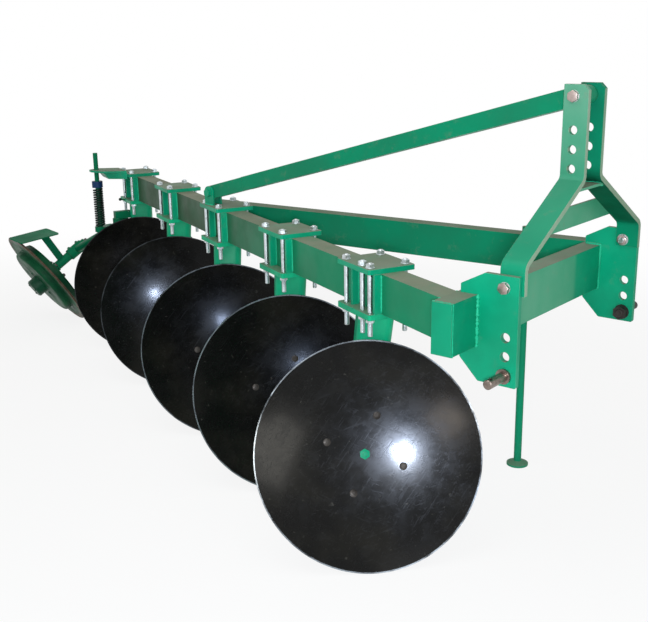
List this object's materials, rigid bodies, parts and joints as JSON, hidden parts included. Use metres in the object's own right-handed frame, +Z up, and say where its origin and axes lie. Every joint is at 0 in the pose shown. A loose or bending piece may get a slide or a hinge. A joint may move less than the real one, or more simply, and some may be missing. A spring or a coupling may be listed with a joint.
{
  "type": "mounted disc plough",
  "caption": "Mounted disc plough with a slanting beam, dished discs on leaning standards, a mast, a furrow wheel and a parking stand.",
  "frame": {"origin": "middle of the plough's footprint box, on the ground that its discs, furrow wheel and stand touch", "axes": "+X forward to the tractor, +Y to the left, +Z up"},
  "size_m": [3.78, 1.5826, 1.427],
  "materials": {
    "green_paint": "gloss enamel, scratched and dusty",
    "beam_paint": "gloss enamel, dusty",
    "disc_black": "gloss black",
    "hub_paint": "gloss enamel",
    "bare_steel": "zinc plated",
    "wheel_paint": "enamel with a worn rim",
    "spring_dark": "dark oiled steel",
    "collar_blue": "gloss enamel"
  },
  "bodies": {
    "frame": {"cross_tube": "green_paint", "end_caps": "green_paint", "hitch_plate_right": "green_paint", "lower_pin_right": "bare_steel", "hitch_plate_left": "green_paint", "lower_pin_left": "bare_steel", "mast_bar_right": "green_paint", "mast_bar_left": "green_paint", "mast_cross_bar": "green_paint", "mast_spacer": "green_paint", "mast_bolts": "bare_steel", "main_beam": "beam_paint", "brace_beam": "green_paint", "standard_1": "beam_paint", "standard_2": "beam_paint", "standard_3": "beam_paint", "standard_4": "beam_paint", "standard_5": "beam_paint", "clamp_plates": "beam_paint", "clamp_studs": "bare_steel", "beam_ribs": "beam_paint", "top_stay": "green_paint", "stay_lug": "green_paint", "stand_sleeve": "green_paint", "wheel_arm": "green_paint", "wheel_rod": "green_paint", "wheel_collar": "collar_blue", "wheel_spring": "spring_dark", "wheel_crank": "green_paint", "wheel_bracket": "green_paint", "wheel_scraper": "green_paint"},
    "disc_1": {"disc_blade_1": "disc_black", "disc_hub_1": "hub_paint"},
    "disc_2": {"disc_blade_2": "disc_black", "disc_hub_2": "hub_paint"},
    "disc_3": {"disc_blade_3": "disc_black", "disc_hub_3": "hub_paint"},
    "disc_4": {"disc_blade_4": "disc_black", "disc_hub_4": "hub_paint"},
    "disc_5": {"disc_blade_5": "disc_black", "disc_hub_5": "hub_paint"},
    "furrow_wheel": {"furrow_wheel": "wheel_paint", "wheel_cap": "wheel_paint"},
    "stand": {"stand_leg": "green_paint"}
  },
  "joints": [
    {"name": "disc_spin_1", "type": "hinge", "parent": "frame", "child": "disc_1", "pos_m": [1.29964, -0.39106, 0.25645], "axis": [0.6684, -0.6454, 0.3697], "continuous": true},
    {"name": "disc_spin_2", "type": "hinge", "parent": "frame", "child": "disc_2", "pos_m": [0.74589, -0.11748, 0.25645], "axis": [0.6684, -0.6454, 0.3697], "continuous": true},
    {"name": "disc_spin_3", "type": "hinge", "parent": "frame", "child": "disc_3", "pos_m": [0.20214, 0.1081, 0.25645], "axis": [0.6684, -0.6454, 0.3697], "continuous": true},
    {"name": "disc_spin_4", "type": "hinge", "parent": "frame", "child": "disc_4", "pos_m": [-0.41261, 0.38968, 0.25645], "axis": [0.6684, -0.6454, 0.3697], "continuous": true},
    {"name": "disc_spin_5", "type": "hinge", "parent": "frame", "child": "disc_5", "pos_m": [-0.95636, 0.64826, 0.25645], "axis": [0.6684, -0.6454, 0.3697], "continuous": true},
    {"name": "wheel_spin", "type": "hinge", "parent": "frame", "child": "furrow_wheel", "pos_m": [-1.59199, 0.45736, 0.25698], "axis": [-0.2292, -0.8014, -0.5525], "continuous": true},
    {"name": "stand_slide", "type": "slide", "parent": "frame", "child": "stand", "axis": [0, 0, 1], "range_m": [0, 0.45]}
  ]
}
